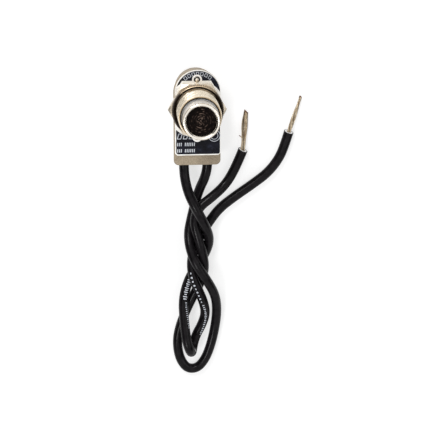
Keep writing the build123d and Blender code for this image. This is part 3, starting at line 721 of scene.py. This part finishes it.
def flat_piece(name, loops, level, material, thickness=0.006):
    """Flat layer filled between closed loops by a 2D curve and kept as a mesh."""
    curve = bpy.data.curves.new(name, "CURVE")
    curve.dimensions = "2D"
    curve.fill_mode = "BOTH"
    curve.extrude = thickness * MM / 2
    for points in loops:
        spline = curve.splines.new("POLY")
        spline.points.add(len(points) - 1)
        for target, (x, y) in zip(spline.points, points):
            target.co = (x * MM, y * MM, 0, 1)
        spline.use_cyclic_u = True
    source = bpy.data.objects.new(name + "_outline", curve)
    bpy.context.scene.collection.objects.link(source)
    bpy.context.view_layer.update()
    mesh = bpy.data.meshes.new_from_object(source.evaluated_get(bpy.context.evaluated_depsgraph_get()))
    mesh.transform(Matrix.Translation((0, 0, level * MM)))
    bpy.data.objects.remove(source)
    mesh.name = name
    mesh.materials.clear()
    mesh.materials.append(MATERIALS[material])
    obj = bpy.data.objects.new(name, mesh)
    bpy.context.scene.collection.objects.link(obj)
    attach(obj, "body")
    return obj


def circle(x, y, r, start=0, end=360, step=6):
    """Points on a circle or an arc, angles in whole degrees."""
    return [(x + r * math.cos(math.radians(a)), y + r * math.sin(math.radians(a)))
            for a in range(start, end, step)]


def bar(x, y, length, height, turn=0.0, lean=0.0):
    """Four corners of a small bar about its middle, turned by an angle and leaning like a parallelogram."""
    corners = []
    for u, v in ((-1, -1), (1, -1), (1, 1), (-1, 1)):
        across, up = u * length / 2 + v * lean / 2, v * height / 2
        corners.append((x + across * math.cos(turn) - up * math.sin(turn),
                        y + across * math.sin(turn) + up * math.cos(turn)))
    return corners


def field_outline():
    """The printed field: straight sides, a round top end and trimmed bottom corners."""
    half = (FIELD_RIGHT - FIELD_LEFT) / 2
    middle = (FIELD_LEFT + FIELD_RIGHT) / 2
    return circle(middle, FIELD_TOP - half, half, 0, 181, 4) + [
        (FIELD_LEFT, FIELD_BOTTOM + FIELD_CORNER), (FIELD_LEFT + FIELD_CORNER, FIELD_BOTTOM),
        (FIELD_RIGHT - FIELD_CORNER, FIELD_BOTTOM), (FIELD_RIGHT, FIELD_BOTTOM + FIELD_CORNER),
    ]


def window_outline():
    """Bare window round the nuts: a circle with the flat top of a hexagon, kept between two sides."""
    left, right = FIELD_LEFT - 0.3, FIELD_RIGHT + 0.05
    round_part = circle(WINDOW_X, 0.0, WINDOW_RADIUS, -237, 53, 2)
    points = [(FLAT_LEFT, FLAT_TOP)] + round_part + [(FLAT_RIGHT, FLAT_TOP)]
    return [(min(max(x, left), right), y) for x, y in points]


def mark_loops():
    """Plain marks in place of the lettering: outlined bars, a double ring and two rows of short bars."""
    loops = []
    for degrees in range(130, 50, -13):
        a = math.radians(degrees)
        x, y = ARC_X + ARC_RADIUS * math.cos(a), ARC_Y + ARC_RADIUS * math.sin(a)
        loops += [bar(x, y, *ARC_BAR, a - math.pi / 2), bar(x, y, *ARC_HOLE, a - math.pi / 2)]
    for x in (-4.85, -3.2, -1.55):
        loops += [bar(x, ROW_Y, *ROW_BAR, lean=0.5), bar(x, ROW_Y, *ROW_HOLE, lean=0.4)]
    for r in (1.72, 1.54, 1.12, 0.96):
        loops.append(circle(ROUND_X, ROUND_Y, r))
    for y in (-10.15, -11.95):
        for x in (-5.45, -4.95, -4.45, -3.3, -2.8, -2.3, -1.8, -1.3, -0.8):
            loops.append(bar(x, y, *SHORT_BAR, lean=0.08))
    return loops


flat_piece("plate_print", [field_outline()], PRINT_FACE, "print")
flat_piece("print_window", [window_outline()], MARK_FACE, "plate")
flat_piece("top_rivet_bare", [circle(0, RIVET_Y, RIVET_BARE)], MARK_FACE + 0.002, "plate")
flat_piece("bottom_rivet_bare", [circle(0, -RIVET_Y, RIVET_BARE)], MARK_FACE + 0.002, "plate")
flat_piece("print_marks", mark_loops(), MARK_FACE, "mark")


# Wires and their bare ends
SKIN_GAP = 0.005
MARK_LIFT = 0.004
MARK_WIDTH_SHARE = 0.22
MARK_REACHES = (0.55, 1.0, 0.75, 0.9)
CUT_PROFILE = (
    (1.395, -0.12), (1.395, 0.02), (1.35, 0.05), (1.16, 0.05), (1.14, 0.06), (0.95, 0.08), (0.76, 0.06),
    (0.66, 0.02), (0.62, -0.10),
)
CUT_SEGMENTS = 48
CUT_SLANT = 0.20
STRAND_RADIUS = 0.135
STRAND_SIDES = 8
STRAND_STEPS = 64
STRAND_TUCK = 0.8


def across_and_above(direction):
    """Two directions square to a line, the first of them level."""
    across = direction.cross(Vector((0, 0, 1))).normalized()
    return across, across.cross(direction)


def route_curve(name, route):
    """Curve of one NURBS spline with the route's points as its control points."""
    curve = bpy.data.curves.new(name, "CURVE")
    curve.dimensions = "3D"
    spline = curve.splines.new("NURBS")
    spline.points.add(len(route) - 1)
    for target, point in zip(spline.points, route):
        target.co = (*(Vector(point) * MM), 1)
    spline.order_u = 3
    spline.use_endpoint_u = True
    spline.resolution_u = 10
    return curve


def centre_line(route):
    """Points in millimetres that Blender gives for the route's spline."""
    source = bpy.data.objects.new("centre_line", route_curve("centre_line", route))
    bpy.context.scene.collection.objects.link(source)
    bpy.context.view_layer.update()
    mesh = bpy.data.meshes.new_from_object(source.evaluated_get(bpy.context.evaluated_depsgraph_get()))
    points = [v.co / MM for v in mesh.vertices]
    bpy.data.objects.remove(source)
    bpy.data.meshes.remove(mesh)
    return points


def dash(middle, along, turned, reach, pitch):
    """Four points on each side of one pale dash that lies round the wire's surface."""
    across, above = across_and_above(along)
    points = []
    for side in (-1, 1):
        for i in range(4):
            a = turned + reach * (i / 1.5 - 1)
            out = across * math.sin(a) + above * math.cos(a)
            raised = middle + out * (WIRE_RADIUS + MARK_LIFT)
            points.append(raised + along * side * pitch * MARK_WIDTH_SHARE)
    return points


def wire_marks(name, route, groups):
    """Short pale dashes across a wire, in groups from one length along it to another.

    Each group is (start, end, pitch, half angle, lean at start, lean at end), the angles round the wire.
    """
    points = centre_line(route)
    verts, faces = [], []
    travelled, count = 0.0, 0
    for first, second in zip(points, points[1:]):
        step = (second - first).length
        along = (second - first).normalized()
        for start, end, pitch, half, lean, last_lean in groups:
            place = start + math.ceil(max(0.0, travelled - start) / pitch) * pitch
            while travelled <= place < travelled + step and place < end:
                middle = first + along * (place - travelled)
                turned = lean + (last_lean - lean) * (place - start) / (end - start)
                base = len(verts)
                verts += dash(middle, along, turned, half * MARK_REACHES[count % 4], pitch)
                faces += [(base + i, base + i + 1, base + i + 5, base + i + 4) for i in range(3)]
                count += 1
                place += pitch
        travelled += step
    return piece(name, verts, faces, ["mark"], "body")


def wire(name, route, node):
    """Insulated wire as one NURBS curve through the route's control points."""
    curve = route_curve(name, route)
    curve.bevel_depth = (WIRE_RADIUS - SKIN_GAP) * MM
    curve.bevel_resolution = 8
    curve.use_fill_caps = True
    curve.materials.append(MATERIALS["black"])
    obj = bpy.data.objects.new(name, curve)
    bpy.context.scene.collection.objects.link(obj)
    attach(obj, "body")
    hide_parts(node)


def cut_end(name, route):
    """Slightly slanted cut face of the insulation: black skin, white layer and the conductor's hole."""
    end = Vector(route[-1])
    along = (end - Vector(route[-2])).normalized()
    across, above = across_and_above(along)
    verts, faces, indices = [], [], []
    count = len(CUT_PROFILE)
    for i in range(CUT_SEGMENTS):
        turn = 2 * math.pi * i / CUT_SEGMENTS
        wobble = 0.03 * noise.noise(Vector((math.cos(turn), math.sin(turn), end.x)) * 1.7)
        for radius, height in CUT_PROFILE:
            r = radius + (wobble if 0.9 < radius < 1.3 else 0)
            slant = CUT_SLANT * (WIRE_RADIUS - r * math.sin(turn)) if height > 0 else 0
            point = end + across * r * math.cos(turn) + above * r * math.sin(turn)
            verts.append(point + along * (height + slant))
    for i in range(CUT_SEGMENTS):
        for j in range(count - 1):
            a, b = i * count, ((i + 1) % CUT_SEGMENTS) * count
            faces.append((a + j, b + j, b + j + 1, a + j + 1))
            indices.append(0 if j < 3 else 1)
    return piece(name, verts, faces, ["black", "white"], "body", indices, angle=50)


def bezier(points, t):
    """Point at a share of a cubic curve with four control points."""
    a, b, c, d = points
    return a * (1 - t) ** 3 + b * 3 * t * (1 - t) ** 2 + c * 3 * t ** 2 * (1 - t) + d * t ** 3


def tube(centres, verts, faces, indices, tone=0):
    """Adds one thin strand along its centres to the lists, with copper showing at its cut end."""
    base = len(verts)
    last = len(centres) - 1
    for i, point in enumerate(centres):
        ahead = (centres[min(i + 1, last)] - centres[max(i - 1, 0)]).normalized()
        across, above = across_and_above(ahead)
        for k in range(STRAND_SIDES):
            turn = 2 * math.pi * k / STRAND_SIDES
            side = point + across * STRAND_RADIUS * math.cos(turn)
            verts.append(side + above * STRAND_RADIUS * math.sin(turn))
    for i in range(last):
        for k in range(STRAND_SIDES):
            n = (k + 1) % STRAND_SIDES
            low, high = base + i * STRAND_SIDES, base + (i + 1) * STRAND_SIDES
            faces.append((low + k, low + n, high + n, high + k))
            indices.append(tone if i < last - 2 else 2)
    faces.append(tuple(base + k for k in reversed(range(STRAND_SIDES))))
    indices.append(tone)
    faces.append(tuple(base + last * STRAND_SIDES + k for k in range(STRAND_SIDES)))
    indices.append(2)


def width_at(widths, t):
    """Half width of a bundle at a share of its length, between evenly spaced values."""
    place = min(t, 0.9999) * (len(widths) - 1)
    i = int(place)
    return widths[i] + (widths[i + 1] - widths[i]) * (place - i)


def strands(name, route, tip, node, seed, turns, widths, high, spread, bend, lean, oblique, stray=None):
    """Bare strands that twist round the bundle's line, in a bundle that flattens and frays towards its tip.

    turns is the twist, widths the half widths along the bundle and high its flattened half height. spread
    loosens the strands, bend and lean shape the line, and oblique shortens the strands on one side.
    """
    random.seed(seed)
    end = Vector(route[-1])
    along = (end - Vector(route[-2])).normalized()
    tip = Vector(tip)
    line = (end - along * STRAND_TUCK, end + along * (tip - end).length * bend,
            end + (tip - end) * 0.66 + Vector(lean), tip)
    places = [(0.0, 0.0)]
    places += [(0.52, 2 * math.pi * s / 6) for s in range(6)]
    places += [(1.0, 2 * math.pi * s / 9 + 0.3) for s in range(9)]
    verts, faces, indices = [], [], []
    for number, (ring_share, angle) in enumerate(places):
        jitter = [random.uniform(-1, 1) for _ in range(3)]
        cut = ring_share * math.cos(angle + 2 * math.pi * turns)
        reach = 1.0 - random.uniform(0.0, 0.02) - oblique * (0.5 + 0.5 * cut)
        centres = []
        for i in range(STRAND_STEPS + 1):
            t = reach * i / STRAND_STEPS
            ahead = (bezier(line, min(1, t + 0.01)) - bezier(line, max(0, t - 0.01))).normalized()
            across, above = across_and_above(ahead)
            open_up = min(1.0, max(0.0, (t - 0.08) / 0.3))
            a = angle + 2 * math.pi * turns * t + 0.25 * jitter[0] * open_up
            w = width_at(widths, t)
            h = widths[0] + (high - widths[0]) * open_up
            loose = spread * open_up * (0.5 + 0.5 * math.sin(5 * t + 3 * jitter[1]))
            point = bezier(line, t) + across * (ring_share * math.cos(a) * w + loose * jitter[1])
            point += above * (ring_share * math.sin(a) * h + 0.4 * loose * jitter[2])
            point.z = max(point.z, BODY_BACK + STRAND_RADIUS + 0.02)
            centres.append(point)
        # Every third strand takes the darker copy, painted shade for the valleys between strands.
        tube(centres, verts, faces, indices, 1 if number % 3 == 2 else 0)
    if stray:
        tube([Vector(point) for point in stray], verts, faces, indices)
    obj = piece(name, verts, faces, ["strand", "shaded_strand", "copper"], "body",
                indices, angle=60)
    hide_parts(node)
    return obj


FAR_WIDTHS = (0.34, 0.40, 0.50, 0.54, 0.50, 0.40, 0.30, 0.27, 0.28)
NEAR_WIDTHS = (0.44, 0.52, 0.50, 0.50, 0.62, 0.76, 0.74, 0.56, 0.46)
STRAY = (
    (13.3, -10.6, -11.2), (13.05, -10.1, -11.2), (12.85, -9.85, -11.15), (12.62, -9.66, -11.1),
    (12.45, -9.55, -11.1),
)
LEFT_MARKS = (
    (43.5, 50.4, 0.66, 0.45, 0.0, -0.15), (51.2, 58.8, 0.62, 0.22, -0.5, -1.0),
    (75.6, 86.5, 0.70, 0.24, 0.6, -0.2), (87.4, 97.0, 1.10, 0.20, -0.35, -0.4),
)
far_strands = strands("far_strands", LEFT_ROUTE, LEFT_TIP, "left_strands", seed=3, turns=0.95,
                      widths=FAR_WIDTHS, high=0.38, spread=0.04, bend=0.3, lean=(0.25, 0, 0), oblique=0.02)
near_strands = strands("near_strands", RIGHT_ROUTE, RIGHT_TIP, "right_strands", seed=8, turns=0.30,
                       widths=NEAR_WIDTHS, high=0.34, spread=0.06, bend=0.14, lean=(-0.45, 0, 0),
                       oblique=0.05, stray=STRAY)
far_face = cut_end("far_cut_end", LEFT_ROUTE)
near_face = cut_end("near_cut_end", RIGHT_ROUTE)
left_marks = wire_marks("left_lead_marks", LEFT_ROUTE, LEFT_MARKS)
wire("left_lead", LEFT_ROUTE, "left_wire")
wire("right_lead", RIGHT_ROUTE, "right_wire")


# Floor, cards, world and lamps
FLOOR_HALF = 3.0
FLOOR_LEVEL = (BODY_BACK - 0.01) * MM
FLOOR_GLOW = 0.66
CARD_DISTANCE, CARD_TOP, CARD_NEAR, CARD_FAR = 0.75, 0.85, -0.5, 0.9
WORLD_LIGHT = 0.46
LAMP_AIM = (0.004, -0.03, -0.005)
LAMPS = (
    ("key", (-0.20, 0.38, 0.42), 0.20, 1.8),
    ("streak", (-0.27, -0.20, 0.52), 0.15, 0.9),
    ("fill", (0.45, 0.05, 0.40), 0.40, 0.7),
)


def seen_share(tree):
    """1 for camera, glossy and transmission rays, and 0 for the light that reaches the object."""
    rays = tree.nodes.new("ShaderNodeLightPath")
    seen = rays.outputs["Is Camera Ray"]
    for kind in ("Is Glossy Ray", "Is Transmission Ray"):
        larger = tree.nodes.new("ShaderNodeMath")
        larger.operation = "MAXIMUM"
        tree.links.new(seen, larger.inputs[0])
        tree.links.new(rays.outputs[kind], larger.inputs[1])
        seen = larger.outputs[0]
    return seen


def floor_material():
    """Floor with the object's shadow, white to the camera and to reflections. Its glow lights nothing."""
    m = Material("floor_white", (0.86, 0.86, 0.86), roughness=0.9)
    seen = seen_share(m.tree)
    glow = m.node("ShaderNodeEmission")
    m.link(m.math("MULTIPLY", seen, FLOOR_GLOW), glow.inputs["Strength"])
    diffuse = m.node("ShaderNodeBsdfDiffuse")
    pale = m.ramp(m.noise(40, 2), (0.3, (0.79, 0.79, 0.79)), (0.7, (0.81, 0.81, 0.81)))
    grey = m.ramp(m.noise(40, 2), (0.3, (0.40, 0.40, 0.40)), (0.7, (0.42, 0.42, 0.42)))
    m.link(m.mix(seen, pale, grey), diffuse.inputs["Color"])
    both = m.node("ShaderNodeAddShader")
    m.link(glow.outputs[0], both.inputs[0])
    m.link(diffuse.outputs[0], both.inputs[1])
    m.link(both.outputs[0], m.tree.nodes["Material Output"].inputs["Surface"])
    m.tree.nodes.remove(m.shader)
    return m.material


def card_material():
    """Black card beside the table, which only reflections see."""
    m = Material("black_card", (0.02, 0.02, 0.02), roughness=0.9, specular=0.0)
    m.colour(m.ramp(m.noise(8, 2), (0.3, (0.010, 0.010, 0.010)), (0.7, (0.020, 0.020, 0.020))))
    return m.material


def panel(name, corners, material):
    """Flat stage piece from corners in metres."""
    mesh = bpy.data.meshes.new(name)
    mesh.from_pydata(corners, [], [tuple(range(len(corners)))])
    mesh.materials.append(material)
    obj = bpy.data.objects.new(name, mesh)
    bpy.context.scene.collection.objects.link(obj)
    return obj


corners = ((-1, -1), (1, -1), (1, 1), (-1, 1))
panel("floor", [(x * FLOOR_HALF, y * FLOOR_HALF, FLOOR_LEVEL) for x, y in corners], floor_material())

card_black = card_material()
for side, name in ((-1, "left_card"), (1, "right_card")):
    x = side * CARD_DISTANCE
    card = panel(name, [(x, CARD_NEAR, FLOOR_LEVEL), (x, CARD_FAR, FLOOR_LEVEL), (x, CARD_FAR, CARD_TOP),
                        (x, CARD_NEAR, CARD_TOP)], card_black)
    card.visible_camera = False
    card.visible_diffuse = False
    card.visible_shadow = False
    card.visible_transmission = False

world = bpy.data.worlds.new("studio")
bpy.context.scene.world = world
world.use_nodes = True
tree = world.node_tree
strength = tree.nodes.new("ShaderNodeMapRange")
strength.inputs["To Min"].default_value = WORLD_LIGHT
strength.inputs["To Max"].default_value = 1.0
tree.links.new(seen_share(tree), strength.inputs["Value"])
tree.links.new(strength.outputs["Result"], tree.nodes["Background"].inputs["Strength"])
tree.nodes["Background"].inputs["Color"].default_value = (1, 1, 1, 1)


def lamp(name, place, size, power):
    """Soft square lamp that points at the middle of the object."""
    data = bpy.data.lights.new(name, "AREA")
    data.shape = "SQUARE"
    data.size = size
    data.energy = power
    obj = bpy.data.objects.new(name, data)
    obj.location = place
    obj.rotation_euler = (Vector(LAMP_AIM) - Vector(place)).to_track_quat("-Z", "Y").to_euler()
    bpy.context.scene.collection.objects.link(obj)


for name, place, size, power in LAMPS:
    lamp(name, place, size, power)
